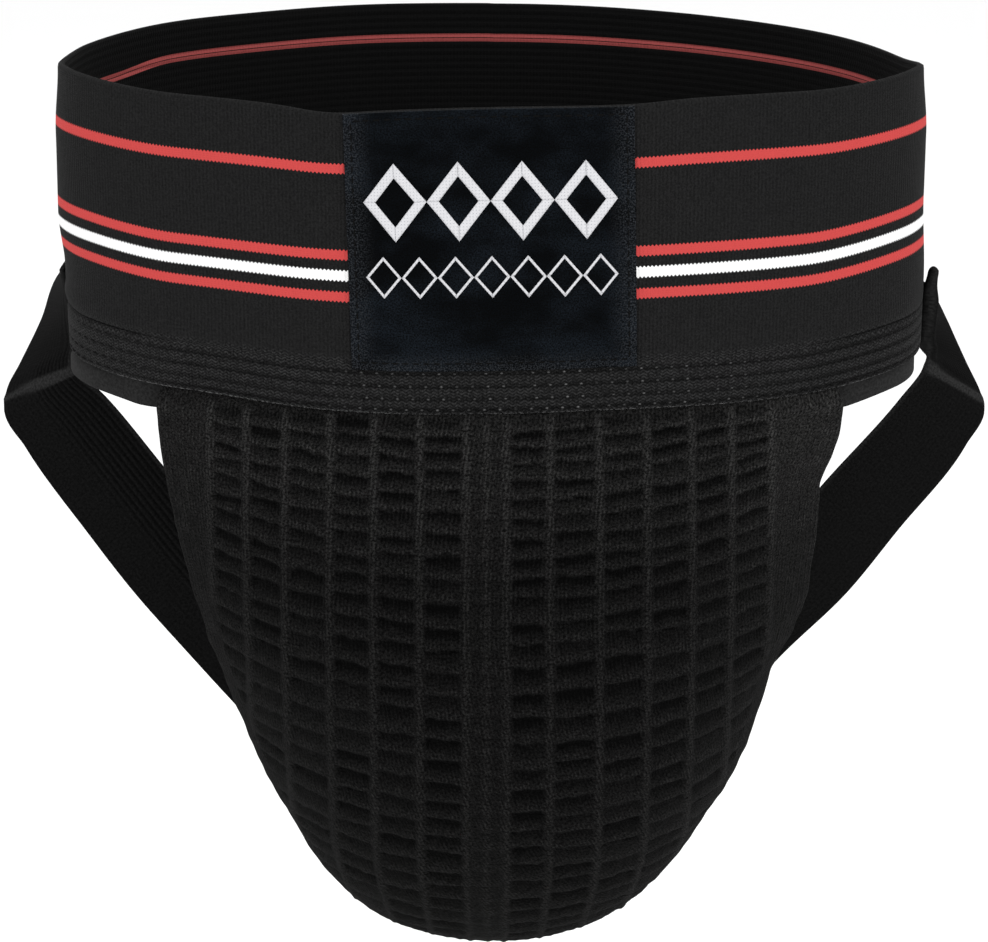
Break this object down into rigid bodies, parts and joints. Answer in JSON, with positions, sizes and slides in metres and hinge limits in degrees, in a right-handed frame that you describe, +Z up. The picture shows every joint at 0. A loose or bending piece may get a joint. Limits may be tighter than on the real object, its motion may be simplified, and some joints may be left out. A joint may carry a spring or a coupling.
{
  "type": "athletic supporter",
  "caption": "Worn-shape elastic athletic supporter: wide striped waistband, puckered knit front pouch with no hard cup, and elastic leg straps down to the pouch.",
  "frame": {"origin": "centre of the waist opening, in the plane of the waistband's top edge", "axes": "+Z up towards the wearer's chest, -Y towards the wearer's front, +X towards the wearer's left"},
  "size_m": [0.27, 0.19, 0.2314],
  "materials": {
    "waist_webbing": "ribbed woven elastic with woven-in red and white stripes",
    "label_satin": "mottled satin",
    "smooth_tape": "smooth flat tape",
    "pouch_knit": "fuzzy puckered knit",
    "side_elastic": "finely ribbed elastic",
    "strap_webbing": "ribbed knitted elastic",
    "thread": "twisted polyester thread"
  },
  "bodies": {
    "waistband": {"waistband": "waist_webbing", "label_patch": "label_satin", "label_stitching": "thread", "band_join_zigzag": "thread", "facing_tape": "smooth_tape", "pouch_seam_allowance": "pouch_knit", "hem_coverstitch": "thread", "leg_strap_right": "strap_webbing", "leg_strap_left": "strap_webbing", "strap_bartack_right": "thread", "strap_bartack_left": "thread"},
    "pouch": {"pouch_panel": "pouch_knit", "pouch_hem_right": "side_elastic", "pouch_hem_left": "side_elastic", "hem_stitching_right": "thread", "hem_stitching_left": "thread", "bottom_facing": "smooth_tape", "bottom_bartack": "thread"}
  },
  "joints": [
    {"name": "pouch_swing", "type": "hinge", "parent": "waistband", "child": "pouch", "pos_m": [0, -0.0605, -0.076], "axis": [-1, 0, 0], "range_deg": [0, 25], "stiffness_Nm_per_rad": 1, "deforming": ["leg_strap_right", "leg_strap_left"]}
  ]
}
